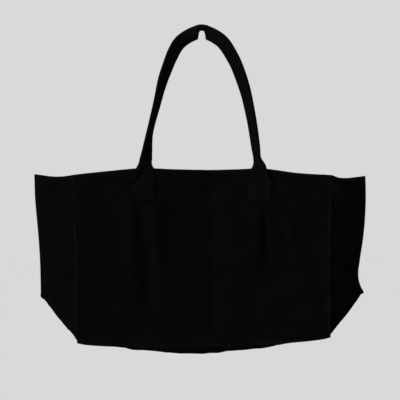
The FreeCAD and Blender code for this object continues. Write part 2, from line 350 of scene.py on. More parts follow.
def settle(sewn, hung, faces, hold, frames):
    """Lets the shell settle as cloth under its own weight, and returns where its corners are."""
    mesh = bpy.data.meshes.new("shell")
    mesh.from_pydata([tuple(p) for p in hung], [], faces)
    shell = add_object("shell", mesh)
    shell.shape_key_add(name="hung")
    key = shell.shape_key_add(name="sewn")
    key.data.foreach_set("co", sewn.astype(np.float32).ravel())
    group = shell.vertex_groups.new(name="hold")
    for v, weight in hold.items():
        group.add([v], weight, "REPLACE")
    cloth = shell.modifiers.new("cloth", "CLOTH")
    s = cloth.settings
    s.quality = 8
    s.mass = 0.15
    s.air_damping = 3
    s.tension_stiffness = s.compression_stiffness = 40
    s.shear_stiffness = 15
    s.bending_stiffness = 4
    s.tension_damping = s.compression_damping = s.shear_damping = 10
    s.bending_damping = 1
    s.vertex_group_mass = "hold"
    s.pin_stiffness = 5
    s.rest_shape_key = key
    cloth.point_cache.frame_start = 1
    cloth.point_cache.frame_end = frames
    for number in range(1, frames + 1):
        bpy.context.scene.frame_set(number)
    settled = shell.evaluated_get(bpy.context.evaluated_depsgraph_get()).to_mesh()
    points = np.zeros(len(settled.vertices) * 3)
    settled.vertices.foreach_get("co", points)
    bpy.data.objects.remove(shell)
    bpy.context.scene.frame_set(1)
    return points.reshape(-1, 3)


# --- Finished cloth ---
def refine(points):
    """The rows of a grid, FINER times as many, on smooth curves through the old ones."""
    ends = [2 * points[:1] - points[1:2], points, 2 * points[-1:] - points[-2:-1]]
    around = np.concatenate(ends)
    count = len(points) - 1
    at = np.arange(count * FINER + 1) / FINER
    i = np.minimum(at.astype(int), count - 1)
    t = (at - i)[:, None, None]
    a, b, c, d = (around[i + k] for k in range(4))
    return b + t / 2 * (c - a + t * (2 * a - 5 * b + 4 * c - d + t * (3 * (b - c) + d - a)))


def eased(points, times):
    """A grid with its inner points drawn evenly between their neighbours, so no cell shows."""
    for _ in range(times):
        new = points.copy()
        inner = points[1:-1, 1:-1]
        beside = points[:-2, 1:-1] + points[2:, 1:-1] + points[1:-1, :-2] + points[1:-1, 2:]
        new[1:-1, 1:-1] = inner / 2 + beside / 8
        new[0, 1:-1] = points[0, 1:-1] / 2 + (points[0, :-2] + points[0, 2:]) / 4
        points = new
    return points


def finer(points):
    return eased(refine(refine(points).swapaxes(0, 1)).swapaxes(0, 1), EASING_PASSES)


def normals_of(points):
    """The outward normals of a grid, whose rows run down and columns across."""
    return unit(np.cross(np.gradient(points, axis=0), np.gradient(points, axis=1)))


def flat_coordinates(points):
    """Metres across from the middle and metres down, of a grid of finished cloth."""
    rows, columns = points.shape[:2]
    v, u = np.meshgrid(np.arange(rows) * STEP, (np.arange(columns) - (columns - 1) / 2) * STEP,
                       indexing="ij")
    return u, v


def flat_size(points):
    rows, columns = points.shape[:2]
    return (columns - 1) * STEP, (rows - 1) * STEP


def new_object(name, points, faces, uvs, material, wear=None):
    """A smooth-shaded mesh. uvs are metres on the cloth, one pair for each face corner."""
    mesh = bpy.data.meshes.new(name)
    mesh.from_pydata(np.asarray(points).reshape(-1, 3).tolist(), [], faces)
    layer = mesh.uv_layers.new(name="cloth")
    layer.data.foreach_set("uv", np.asarray(uvs, np.float32).ravel())
    worn = mesh.attributes.new("wear", "FLOAT", "POINT")
    if wear is not None:
        worn.data.foreach_set("value", np.asarray(wear, np.float32).ravel())
    mesh.polygons.foreach_set("use_smooth", [True] * len(faces))
    mesh.set_sharp_from_angle(angle=SHARP_ANGLE)
    mesh.update()
    obj = add_object(name, mesh)
    slot, finish = MATERIAL[material]
    mesh.materials.append(finish)
    return obj


def thick_sheet(name, points, material, wear=None, thickness=CANVAS):
    """A closed sheet of cloth about a grid of points."""
    rows, columns = points.shape[:2]
    total = rows * columns
    normals = normals_of(points)
    layers = [points + normals * thickness / 2, points - normals * thickness / 2]
    number = np.arange(total).reshape(rows, columns)
    u, v = flat_coordinates(points)
    flat = np.stack([u, v], axis=-1).reshape(-1, 2)
    corners = [number[:-1, :-1], number[1:, :-1], number[1:, 1:], number[:-1, 1:]]
    quads = np.stack(corners, axis=-1).reshape(-1, 4)
    rim = np.concatenate([number[0, :-1], number[:-1, -1], number[-1, :0:-1], number[:0:-1, 0]])
    following = np.roll(rim, -1)
    edge = np.stack([rim, following, following + total, rim + total], axis=-1)
    faces = np.concatenate([quads, quads[:, ::-1] + total, edge])
    both = np.concatenate([layer.reshape(-1, 3) for layer in layers])
    worn = None if wear is None else np.concatenate([wear.ravel(), wear.ravel()])
    return new_object(name, both, faces.tolist(), flat[faces % total], material, worn)


def loft(name, rings, material, wear=None):
    """A closed solid through rings of points, each going the same way round."""
    rings = np.asarray(rings)
    count, around = rings.shape[:2]
    number = np.arange(count * around).reshape(count, around)
    beside = np.roll(number, -1, axis=1)
    quads = np.stack([number[:-1], number[1:], beside[1:], beside[:-1]], axis=-1).reshape(-1, 4)
    along = lengths_along(rings.mean(1))[:, None] * np.ones((1, around + 1))
    girth = np.linalg.norm(np.diff(rings, axis=1, append=rings[:, :1]), axis=2)
    round_it = np.concatenate([np.zeros((count, 1)), np.cumsum(girth, axis=1)], axis=1)
    flat = np.stack([round_it, along], axis=-1)
    corners = [flat[:-1, :-1], flat[1:, :-1], flat[1:, 1:], flat[:-1, 1:]]
    uvs = np.stack(corners, axis=2).reshape(-1, 2)
    faces = quads.tolist() + [number[0].tolist(), number[-1, ::-1].tolist()]
    caps = np.concatenate([flat[0, :-1], flat[-1, -2::-1]])
    worn = None if wear is None else np.repeat(wear, around)
    return new_object(name, rings, faces, np.concatenate([uvs, caps]), material, worn)


def sweep_rings(path, out, outline):
    """An outline of (across, out) pairs carried along a path, given its out directions."""
    tangent = unit(np.gradient(path, axis=0))
    out = square_to(out, tangent)
    across = np.cross(tangent, out)
    return np.stack([path + across * a + out * b for a, b in outline], axis=1)


def rounded(width, height, low=0.0, steps=5):
    """An outline with round ends, from out = low to low + height."""
    r = width / 2
    turn = np.linspace(0, math.pi, steps)
    top = [(r * math.cos(t), low + height - r + r * math.sin(t)) for t in turn]
    foot = [(-r * math.cos(t), low + r - r * math.sin(t)) for t in turn]
    return top + foot


# --- Stitching ---
STITCH_ALONG = (-1.0, -0.55, 0.55, 1.0)
STITCH_GIRTH = (0.45, 1.0, 1.0, 0.45)
STITCH_SIDES = 5


def stitches(name, runs, material):
    """Runs of thread stitches. Each run is a path and the out direction at each of its points."""
    turn = np.arange(STITCH_SIDES) * 2 * math.pi / STITCH_SIDES
    shape = [(a, g * math.cos(t), g * math.sin(t))
             for a, g in zip(STITCH_ALONG, STITCH_GIRTH) for t in turn]
    a, b, c = np.array(shape).T[:, None, :, None]
    points = []
    for path, out in runs:
        gone = lengths_along(path)
        count = max(1, round(gone[-1] / STITCH_PITCH))
        pitch = gone[-1] / count
        middle = (np.arange(count) + 0.5) * pitch

        def at(values, where):
            return np.stack([np.interp(where, gone, values[:, k]) for k in range(3)], axis=1)

        ahead = unit(at(path, middle + pitch / 4) - at(path, middle - pitch / 4))
        up = square_to(at(out, middle), ahead)
        beside = np.cross(ahead, up)
        half = pitch * 0.4
        centre = at(path, middle)
        points.append(centre[:, None] + ahead[:, None] * a * half
                      + beside[:, None] * b * THREAD_RADIUS + up[:, None] * c * THREAD_RADIUS)
    points = np.concatenate(points)
    total, each = points.shape[:2]
    number = np.arange(each).reshape(-1, STITCH_SIDES)
    beside = np.roll(number, -1, axis=1)
    sides = np.stack([number[:-1], beside[:-1], beside[1:], number[1:]], axis=-1).reshape(-1, 4)
    faces = []
    for first in np.arange(total) * each:
        faces += (sides + first).tolist()
        faces += [(number[0, ::-1] + first).tolist(), (number[-1] + first).tolist()]
    around = np.array(shape)[:, :2] * THREAD_RADIUS * 3
    uvs = np.array([around[v % each] for face in faces for v in face])
    return new_object(name, points, faces, uvs, material)


# --- Folds that the cloth keeps ---
FOLD_DEPTH = 1.35


def crease(u, v, start, end, width, height):
    """A fold from start to end on the flat cloth, width to each side, height at its middle."""
    d = np.subtract(end, start)
    length = math.hypot(*d)
    share = ((u - start[0]) * d[0] + (v - start[1]) * d[1]) / length**2
    off = ((v - start[1]) * d[0] - (u - start[0]) * d[1]) / length
    fade = smooth(share, -0.1, 0.25) * (1 - smooth(share, 0.65, 1.15))
    return FOLD_DEPTH * height * fade * np.exp(-(off / width) ** 2)


# start, end, width and height of each fold, metres on the flat panel: across, and down.
FOLDS = {
    "front": [
        ((0.012, -0.04), (0.015, 0.29), 0.01, -0.0032),
        ((0.012, -0.06), (0.014, 0.25), 0.038, -0.005),
        ((-0.116, 0.045), (-0.094, 0.24), 0.0105, -0.0058),
        ((-0.13, 0.04), (-0.122, 0.23), 0.013, 0.0038),
        ((-0.086, 0.055), (-0.074, 0.24), 0.014, 0.004),
        ((0.11, 0.06), (0.115, 0.165), 0.006, -0.0042),
        ((0.096, 0.06), (0.09, 0.2), 0.015, 0.0032),
        ((0.12, 0.05), (0.172, 0.112), 0.007, 0.0034),
        ((0.126, 0.01), (0.175, 0.045), 0.007, 0.0022),
        ((0.128, 0.07), (0.16, 0.14), 0.01, -0.0028),
        ((-0.126, 0.012), (-0.175, 0.05), 0.008, 0.0024),
        ((-0.09, 0.205), (-0.02, 0.232), 0.006, 0.0016),
        ((-0.07, 0.222), (-0.005, 0.246), 0.0055, -0.0014),
        ((-0.165, 0.08), (-0.175, 0.25), 0.02, -0.003),
        ((0.055, 0.08), (0.06, 0.25), 0.02, 0.0028),
        ((0.18, 0.15), (0.205, 0.28), 0.012, 0.0026),
        ((-0.215, 0.235), (-0.15, 0.28), 0.01, 0.0022),
    ],
    "back": [
        ((-0.015, -0.04), (-0.01, 0.29), 0.01, -0.0034),
        ((-0.014, -0.06), (-0.012, 0.25), 0.04, -0.0046),
        ((-0.104, 0.05), (-0.112, 0.21), 0.01, -0.0052),
        ((-0.126, 0.045), (-0.15, 0.18), 0.011, 0.0034),
        ((-0.08, 0.055), (-0.07, 0.22), 0.013, 0.0036),
        ((0.106, 0.052), (0.098, 0.22), 0.01, -0.0054),
        ((0.124, 0.05), (0.15, 0.16), 0.009, 0.0036),
        ((0.082, 0.06), (0.072, 0.2), 0.014, 0.0034),
        ((0.03, 0.19), (0.105, 0.225), 0.0065, 0.0018),
        ((-0.19, 0.12), (-0.17, 0.27), 0.016, 0.0028),
        ((0.17, 0.1), (0.18, 0.26), 0.018, -0.0028),
    ],
    "left": [
        ((0.07, 0.02), (0.005, 0.075), 0.009, 0.0042),
        ((0.074, 0.055), (0.01, 0.11), 0.009, -0.004),
        ((0.004, 0.205), (0.08, 0.17), 0.008, 0.0042),
        ((0.02, 0.225), (0.082, 0.2), 0.008, -0.003),
        ((0.045, 0.12), (0.04, 0.2), 0.012, -0.0036),
        ((-0.07, 0.03), (-0.01, 0.09), 0.009, 0.004),
        ((-0.004, 0.2), (-0.078, 0.165), 0.008, 0.0038),
        ((-0.045, 0.11), (-0.04, 0.19), 0.012, -0.0034),
    ],
    "right": [
        ((-0.07, 0.024), (-0.008, 0.06), 0.008, 0.0036),
        ((-0.008, 0.176), (-0.06, 0.15), 0.0075, -0.005),
        ((-0.004, 0.198), (-0.078, 0.18), 0.008, 0.0044),
        ((-0.045, 0.08), (-0.04, 0.2), 0.012, -0.0036),
        ((0.07, 0.03), (0.008, 0.08), 0.009, 0.004),
        ((0.004, 0.19), (0.078, 0.17), 0.008, 0.0038),
        ((0.045, 0.1), (0.04, 0.19), 0.012, -0.0034),
    ],
    "base": [
        ((-0.15, 0.04), (-0.06, 0.07), 0.012, 0.002),
        ((0.05, 0.1), (0.15, 0.06), 0.012, 0.002),
    ],
}
SEEDS = {"front": 11, "back": 23, "left": 31, "right": 43, "base": 57}


def relief(name, u, v, width, height, open_top):
    """How far the cloth of a panel stands out of its settled shape."""
    seed = SEEDS[name]
    total = waves(seed, 0.15, 0.07)(u, v * 0.45) * 0.0009
    total = total + waves(seed + 1, 0.045, 0.02)(u, v * 0.6) * 0.00018
    total = total + waves(seed + 2, 0.018, 0.011)(u, v) * 0.00007
    for start, end, wide, high in FOLDS[name]:
        total = total + crease(u, v, start, end, wide, high)
    if name in SIDES:
        for x in (-HANDLE_X, HANDLE_X):
            flat = hump(u, x, 0.036) * (1 - smooth(v, TAB_LENGTH, TAB_LENGTH + 0.02))
            total = total * (1 - flat)
    total = total * smooth(width / 2 - np.abs(u), 0, 0.016) * smooth(height - v, 0, 0.016)
    if not open_top:
        return total * smooth(v, 0, 0.016)
    total = total * (0.35 + 0.65 * smooth(v, 0, 0.045))
    return total + hem_relief(seed, u, v) * smooth(width / 2 - np.abs(u), 0, 0.008)


def hem_relief(seed, u, v):
    """The step of the hem's edge, the grooves that its stitching pulls in, and the puckers."""
    total = 0.0004 * (1 - smooth(v, (HEM_ROWS - 1) * STEP, (HEM_ROWS + 1) * STEP))
    for row in (RIM_STITCH_ROW, HEM_STITCH_ROW):
        groove = np.abs(v - row * STEP) < STEP / 2
        near = np.exp(-((v - row * STEP) / 0.006) ** 2)
        pucker = waves(seed + 3 + row, 0.014, 0.009)(u, v * 0.15)
        total = total - 0.00035 * groove + pucker * near * 0.00028
    return total


def wear_of(u, v, width, height, seed):
    """How much the cloth is rubbed pale, from 0 to 1, most along its edges."""
    edge = np.exp(-(width / 2 - np.abs(u)) / 0.0025) + np.exp(-v / 0.0025) * 0.8
    edge = edge + np.exp(-(height - v) / 0.0025)
    patchy = 0.6 + 0.4 * waves(seed + 9, 0.03, 0.008)(u, v)
    return np.clip(edge * patchy, 0, 1)


def by_halves(work, grid, middle):
    """A gusset's grid with the same work done to each half of it, so that its fold stays sharp."""
    first, second = work(grid[:, :middle + 1]), work(grid[:, middle:])
    return np.concatenate([first[:, :-1], second], axis=1)


def finish_cloth(grids, settled):
    """Every panel's finished cloth, by name: a fine grid of points on its middle surface."""
    cloth = {}
    for name, table in grids.items():
        coarse = settled[table]
        if name in ENDS:
            points = by_halves(finer, coarse, GUSSET_CELLS)
            normals = by_halves(normals_of, points, HALF)
        else:
            points = finer(coarse)
            normals = normals_of(points)
        u, v = flat_coordinates(points)
        out = relief(name, u, v, *flat_size(points), open_top=name != "base")
        if name in ENDS:
            out = out * smooth(np.abs(u), 0, 0.01)
        cloth[name] = points + normals * out[..., None]
    return cloth


# --- Materials ---
def link(tree, *pairs):
    for source, target in pairs:
        tree.links.new(source, target)


def math_node(tree, operation, a, b=None):
    node = tree.nodes.new("ShaderNodeMath")
    node.operation = operation
    for socket, value in zip(node.inputs, (a, b)):
        if isinstance(value, bpy.types.NodeSocket):
            tree.links.new(value, socket)
        elif value is not None:
            socket.default_value = value
    return node.outputs[0]


def times(tree, a, b):
    return math_node(tree, "MULTIPLY", a, b)


def plus(tree, a, b):
    return math_node(tree, "ADD", a, b)


def bump_node(tree, height, strength, distance):
    node = tree.nodes.new("ShaderNodeBump")
    node.inputs["Strength"].default_value = strength
    node.inputs["Distance"].default_value = distance
    tree.links.new(height, node.inputs["Height"])
    return node


def noise_node(tree, vector, size, detail=3.0, stretch=(1, 1, 1)):
    """Noise from 0 to 1 whose features are about size metres across."""
    mapping = tree.nodes.new("ShaderNodeMapping")
    mapping.inputs["Scale"].default_value = [s / size for s in stretch]
    noise = tree.nodes.new("ShaderNodeTexNoise")
    noise.inputs["Scale"].default_value = 1
    noise.inputs["Detail"].default_value = detail
    link(tree, (vector, mapping.inputs["Vector"]), (mapping.outputs[0], noise.inputs["Vector"]))
    return noise.outputs["Fac"]


def weave_height(tree, uv, pitch):
    """The height of a plain weave, threads pitch metres apart, with thicker and thinner threads."""
    split = tree.nodes.new("ShaderNodeSeparateXYZ")
    link(tree, (uv, split.inputs[0]))
    warp = math_node(tree, "SINE", times(tree, split.outputs[0], math.pi / pitch))
    weft = math_node(tree, "SINE", times(tree, split.outputs[1], math.pi / pitch))
    over = math_node(tree, "GREATER_THAN", times(tree, warp, weft), 0.0)
    warp, weft = math_node(tree, "ABSOLUTE", warp), math_node(tree, "ABSOLUTE", weft)
    warp_up = times(tree, math_node(tree, "POWER", warp, 0.6), plus(tree, times(tree, weft, 0.5), 0.5))
    weft_up = times(tree, math_node(tree, "POWER", weft, 0.6), plus(tree, times(tree, warp, 0.5), 0.5))
    mix = tree.nodes.new("ShaderNodeMix")
    link(tree, (over, mix.inputs[0]), (weft_up, mix.inputs[2]), (warp_up, mix.inputs[3]))
    slubs = plus(tree, noise_node(tree, uv, pitch * 1.3, 1, (1, 0.05, 1)),
                 noise_node(tree, uv, pitch * 1.3, 1, (0.05, 1, 1)))
    return plus(tree, mix.outputs[0], times(tree, slubs, 0.55))


def cloth_material(name, dark, pale, worn, pitch, bump, sheen, roughness):
    """Woven cotton: mottled dye, rubbed edges, a weave and its slubs, and a dusty sheen."""
    material = bpy.data.materials.new(name)
    material.use_nodes = True
    tree = material.node_tree
    shader = tree.nodes["Principled BSDF"]
    uv = tree.nodes.new("ShaderNodeUVMap")
    uv.uv_map = "cloth"
    uv = uv.outputs[0]
    height = weave_height(tree, uv, pitch)

    mottle = tree.nodes.new("ShaderNodeValToRGB")
    mottle.color_ramp.elements[0].position = 0.3
    mottle.color_ramp.elements[0].color = (*dark, 1)
    mottle.color_ramp.elements[1].position = 0.72
    mottle.color_ramp.elements[1].color = (*pale, 1)
    cloudy = times(tree, noise_node(tree, uv, 0.045, 4), 0.72)
    threads = times(tree, height, 0.14)
    link(tree, (plus(tree, cloudy, threads), mottle.inputs[0]))

    wear = tree.nodes.new("ShaderNodeAttribute")
    wear.attribute_name = "wear"
    rubbed = times(tree, wear.outputs["Fac"], times(tree, height, 0.8))
    mix = tree.nodes.new("ShaderNodeMix")
    mix.data_type = "RGBA"
    mix.inputs[7].default_value = (*worn, 1)
    link(tree, (rubbed, mix.inputs[0]), (mottle.outputs[0], mix.inputs[6]))
    link(tree, (mix.outputs[2], shader.inputs["Base Color"]))

    rough = times(tree, noise_node(tree, uv, 0.012, 2), 0.12)
    link(tree, (plus(tree, rough, roughness - 0.06), shader.inputs["Roughness"]))
    shader.inputs["Specular IOR Level"].default_value = 0.0
    shader.inputs["Sheen Weight"].default_value = sheen
    shader.inputs["Sheen Roughness"].default_value = 0.45
    shader.inputs["Sheen Tint"].default_value = (0.72, 0.80, 1.0, 1)

    rumple = bump_node(tree, noise_node(tree, uv, 0.011, 3), 0.5, 0.0010)
    weave = bump_node(tree, height, bump, pitch * 0.30)
    link(tree, (rumple.outputs[0], weave.inputs["Normal"]))
    link(tree, (weave.outputs[0], shader.inputs["Normal"]))
    return material


def make_materials():
    """Each name's slot and material: its two dyes, thread pitch, bump, sheen and roughness."""
    rubbed = (0.0058, 0.0062, 0.0070)
    black, faded = (0.0015, 0.0017, 0.0021), (0.0029, 0.0032, 0.0039)
    kinds = {
        "canvas": (black, faded, 0.0011, 0.60, 0.0012, 0.92),
        "strap": (black, faded, 0.0013, 0.70, 0.0012, 0.90),
        "thread": ((0.0028, 0.0029, 0.0034), (0.0052, 0.0054, 0.0060), 0.0003, 0.40, 0.003, 0.62),
        "binding": ((0.0016, 0.0017, 0.0020), (0.0032, 0.0034, 0.0039), 0.0008, 0.50, 0.0012, 0.88),
    }
    return {name: (name, cloth_material(f"black_{name}", dark, pale, rubbed, *rest))
            for name, (dark, pale, *rest) in kinds.items()}


# --- Pieces along a panel's cloth ---
def on_panel(points, normals, x, down):
    """The place and normal of a panel where its cloth is at x, down metres from its rim."""
    row = down / STEP
    r = int(np.clip(math.floor(row), 0, len(points) - 2))
    line = lerp(points[r], points[r + 1], row - r)
    up = lerp(normals[r], normals[r + 1], np.clip(row - r, 0, 1))
    order = np.argsort(line[:, 0])
    line, up = line[order], up[order]
    spot = [np.interp(x, line[:, 0], line[:, k]) for k in range(3)]
    out = [np.interp(x, line[:, 0], up[:, k]) for k in range(3)]
    return np.stack(spot, axis=-1), unit(np.stack(out, axis=-1))


def hem_rings(points, normals):
    """A hem: the cloth rolls over the rim and lies down the inside, its own edge turned under."""
    rolled = CANVAS + LAID_ON
    down = unit(points[1] - points[0])
    outline = []
    for turn in np.linspace(0, math.pi, 7):
        centre_line = points[0] - normals[0] * rolled / 2 * (1 - math.cos(turn))
        outline.append((centre_line - down * rolled / 2 * math.sin(turn),
                        normals[0] * math.cos(turn) - down * math.sin(turn), CANVAS / 2))
    for r in range(1, HEM_ROWS + 1):
        thick = CANVAS / 2 * (1.0 if r < HEM_ROWS - 2 else 1.7)
        outline.append((points[r] - normals[r] * (rolled + thick - CANVAS / 2), -normals[r], thick))
    outer = [p + n * t for p, n, t in outline]
    inner = [p - n * t for p, n, t in outline[::-1]]
    return np.stack(outer + inner, axis=1)


def row_run(points, normals, row, out):
    """A run of stitches along a row, out from the middle of the cloth."""
    sign = math.copysign(1, out)
    return points[row] + normals[row] * out, normals[row] * sign


grids, sewn, hung, shell_faces = make_shell()
settled = settle(sewn, hung, shell_faces, held(grids), SETTLING_FRAMES)
cloth = finish_cloth(grids, settled)
MATERIAL = make_materials()

normals = {name: by_halves(normals_of, points, HALF) if name in ENDS else normals_of(points)
           for name, points in cloth.items()}


def follows_front(obj):
    """Bakes obj's transform into its mesh; obj is attached to no body."""
    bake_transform(obj)


def panel_wear(points, seed):
    u, v = flat_coordinates(points)
    return wear_of(u, v, *flat_size(points), seed)


def make_hem(name, points, out):
    """A hem and its two rows of stitching, which show inside and out."""
    hem = loft(f"{name}_hem_cloth", hem_rings(points, out), "canvas")
    runs = [row_run(points, out, row, level)
            for row in (RIM_STITCH_ROW, HEM_STITCH_ROW) for level in (OUTSIDE, INSIDE_HEM)]
    return hem, stitches(f"{name}_hem_thread", runs, "thread")


def make_panel(side):
    points, out = cloth[side], normals[side]
    wear = panel_wear(points, SEEDS[side])
    panel = thick_sheet(f"{side}_panel_cloth", points, "canvas", wear)
    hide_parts(f"{side}_panel")
    hem, thread = make_hem(side, points, out)
    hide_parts(f"{side}_hem")
    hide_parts(f"{side}_hem_stitching")
    for piece in (panel, hem, thread):
        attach(piece, BODY[side])
    return panel, [hem, thread]


def starts_at(end, side):
    """Whether a panel's first column is at this end. The gusset's last column is then beside it."""
    return (end == "left") == (side == "front")


def gusset_half(table, end, side):
    """The columns of a gusset from its middle seam to its ridge."""
    return table[:, HALF:] if starts_at(end, side) else table[:, :HALF + 1]


def seam_out(edge_normals, other_normals):
    """The direction straight out of a seam between two panels."""
    return unit(edge_normals + other_normals)


def edge_column(end, side):
    """The column of the panel, and of the gusset, at the ridge between them."""
    return (0, -1) if starts_at(end, side) else (-1, 0)


def make_ridge(side, end):
    """A vertical edge of the bag, pinched and sewn so that it stands out."""
    panel_edge, gusset_edge = edge_column(end, side)
    path = cloth[side][:, panel_edge]
    out = seam_out(normals[side][:, panel_edge], normals[end][:, gusset_edge])
    wobble = waves(71 + SIDES[side] + 5 * ENDS[end], 0.09, 0.02)(np.arange(len(path)) * STEP, 0.0)
    rings = sweep_rings(path, out, rounded(0.0021, 0.0034, low=-0.0009))
    rings = rings + (out * wobble[:, None] * 0.00025)[:, None]
    ridge = loft(f"{side}_{end}_ridge_cloth", rings, "canvas", np.full(len(path), 0.55))
    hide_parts(f"{side}_{end}_ridge_seam")
    across = np.cross(unit(np.gradient(path, axis=0)), out)
    runs = [(path + out * 0.0013 + across * level, across * math.copysign(1, level))
            for level in (-0.00115, 0.00115)]
    thread = stitches(f"{side}_{end}_ridge_thread", runs, "thread")
    for piece in (ridge, thread):
        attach(piece, BODY[side])
    return [ridge, thread]


def make_gusset(end, side):
    points = gusset_half(cloth[end], end, side)
    piece = thick_sheet(f"{side}_{end}_gusset_cloth", points, "canvas",
                        panel_wear(points, SEEDS[end] + SIDES[side]))
    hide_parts(f"{side}_{end}_gusset", f"{end}_corner_flap")
    follows_front(piece)
    return piece


def make_gusset_hem(end):
    hem, thread = make_hem(f"{end}_gusset", cloth[end], normals[end])
    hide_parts(f"{end}_gusset_hem")
    for piece in (hem, thread):
        follows_front(piece)
    return [hem, thread]


def make_binding(name, path, inwards, node, moves):
    """A seam inside the bag, its raw edges bound in tape that leans a little to one side."""
    tangent = unit(np.gradient(path, axis=0))
    inwards = square_to(inwards, tangent)
    beside = np.cross(tangent, inwards)
    leaning = waves(len(path), 0.12, 0.03)(np.arange(len(path)) * STEP, 0.0)[:, None]
    rings = []
    for across, high in rounded(0.0019, 0.0082, low=0.0002):
        bend = 0.0012 * (high / 0.008) ** 2 * (1 + 0.5 * leaning)
        rings.append(path + inwards * high + beside * (across + bend))
    binding = loft(name, np.stack(rings, axis=1), "binding")
    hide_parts(node)
    if moves:
        follows_front(binding)
    else:
        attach(binding, "root")
    return binding


def make_bindings():
    made = []
    trimmed = slice(3, -3)
    for end in ENDS:
        seam = cloth[end][:, HALF]
        inwards = -seam_out(gusset_half(normals[end], end, "front")[:, 0 if end == "left" else -1],
                            gusset_half(normals[end], end, "back")[:, -1 if end == "left" else 0])
        first, last = HEM_ROWS + 1, len(seam) - 4
        made.append(make_binding(f"{end}_side_binding_tape", seam[first:last], inwards[first:last],
                                 f"{end}_side_binding", True))
        foot = cloth[end][-1]
        base_edge = normals["base"][:, 0 if end == "left" else -1]
        base_edge = base_edge[::-1] if end == "left" else base_edge
        inwards = -seam_out(normals[end][-1], base_edge)
        made.append(make_binding(f"{end}_corner_binding_tape", foot[trimmed], inwards[trimmed],
                                 f"{end}_corner_binding", True))
    for side in SIDES:
        base_row = normals["base"][0] if side == "front" else normals["base"][-1, ::-1]
        inwards = -seam_out(normals[side][-1], base_row)
        made.append(make_binding(f"{side}_base_binding_tape", cloth[side][-1, trimmed], inwards[trimmed],
                                 f"{side}_base_binding", side == "front"))
    return made


# --- Straps ---
# The outer edge of a hung strap, from the left of the rim over the hook to the right: X and Z.
OUTER_EDGE = [
    (-0.115, -0.246), (-0.1104, -0.23), (-0.099, -0.1835), (-0.0872, -0.1325), (-0.0728, -0.0695),
    (-0.0415, -0.0074), (0.0000, 0.01), (0.0405, -0.008), (0.0655, -0.0455), (0.0815, -0.088),
    (0.0948, -0.149), (0.1025, -0.2045), (0.1055, -0.232), (0.1132, -0.2466),
]
BACK_FEET_OUT, BACK_LEG_IN = (0.0035, 0.0030), 0.0010        # how the back strap hangs otherwise
HOOK_Y, RIM_Y = 0.0127, 0.0372
# By height over the rim: where the inner edge is along X, how much of the width is folded over
# the rest, and how far the folded strap is turned on itself, in radians.
INNER_EDGE = {
    LEFT: [(-0.06, 0.0835), (-0.034, 0.0836), (0.000, 0.0865), (0.03, 0.0872)],
    RIGHT: [(-0.06, 0.0815), (-0.03, 0.0822), (0.000, 0.088), (0.03, 0.0895)],
}
FOLDED_OVER = {
    LEFT: [(-0.06, -0.0026), (-0.036, -0.0026), (-0.01, 0.007), (0.000, 0.011), (0.012, 0.0165),
           (0.03, 0.0175), (0.3, 0.0175)],
    RIGHT: [(-0.06, -0.0026), (-0.03, -0.0026), (-0.008, 0.009), (0.000, 0.014), (0.012, 0.017),
            (0.03, 0.0175), (0.3, 0.0175)],
}
TURNED = {
    LEFT: [(0.000, 0.0), (0.012, 0.4), (0.03, 0.8), (0.062, 1.28), (0.11, 1.24), (0.147, 1.02),
           (0.175, 0.78), (0.205, 0.48), (0.235, 0.25), (0.3, 0.2)],
    RIGHT: [(0.000, 0.0), (0.008, 0.6), (0.017, 1.05), (0.042, 0.96), (0.1, 0.8), (0.165, 0.52),
            (0.2, 0.4), (0.235, 0.25), (0.3, 0.2)],
}
FOLD_RADIUS = 0.0016
ACROSS = 34                                # points across each face of a strap
TAB_RINGS, FREE_RINGS = 27, 330
END_ROWS = 22                              # sections whose sewn face shows a row of stitches
ROWS_IN = (3, 4)                           # how many points in from its edges the rows are
HOOK_FLAT, HOOK_CLEAR = 0.002, 0.016       # the strap lies flat on the hook, and stands past it
LIFTS_OFF = 0.024                          # height over the rim where it has left the panel
# Below the first height all of the strap is behind the line that it hangs on, so that it clears
# the panel when the handle is folded down. Above the second it is centred on that line.
KEEPS_IN = (0.09, 0.19)


def strap_section(folded):
    """The outline of a strap whose outer edge is folded over its front, and q along it.

    Each point is (across from the inner edge, out from the panel)."""
    q = np.linspace(0, STRAP_WIDTH, ACROSS)
    bend_start = STRAP_WIDTH - folded - math.pi * FOLD_RADIUS / 2
    angle = np.clip((q - bend_start) / FOLD_RADIUS, 0, math.pi)
    middle = (angle[1:] + angle[:-1]) / 2
    step = np.diff(q)
    a = np.concatenate([[0], np.cumsum(step * np.cos(middle))])
    b = np.concatenate([[0], np.cumsum(step * np.sin(middle))])
    from_edge = np.minimum(q, STRAP_WIDTH - q)
    half = STRAP_THICKNESS / 2 * (0.55 + 0.45 * np.sqrt(np.clip(from_edge / 0.0018, 0, 1)))
    sides = [(a - np.sin(angle) * half * s, b + np.cos(angle) * half * s) for s in (1, -1)]
    across = np.concatenate([sides[0][0], sides[1][0][::-1]])
    out = np.concatenate([sides[0][1], sides[1][1][::-1]])
    return across, out


def tab_ring(side, end, high):
    """A section of a strap where it lies on its panel, high over the rim."""
    across, out = strap_section(through(FOLDED_OVER[end], high)[0, 0])
    inner = through(INNER_EDGE[end], high)[0, 0]
    spot, normal = on_panel(cloth[side], normals[side], end * (inner + across), -high)
    return spot + normal * (CANVAS / 2 + LAID_ON + STRAP_THICKNESS / 2 + out)[:, None]


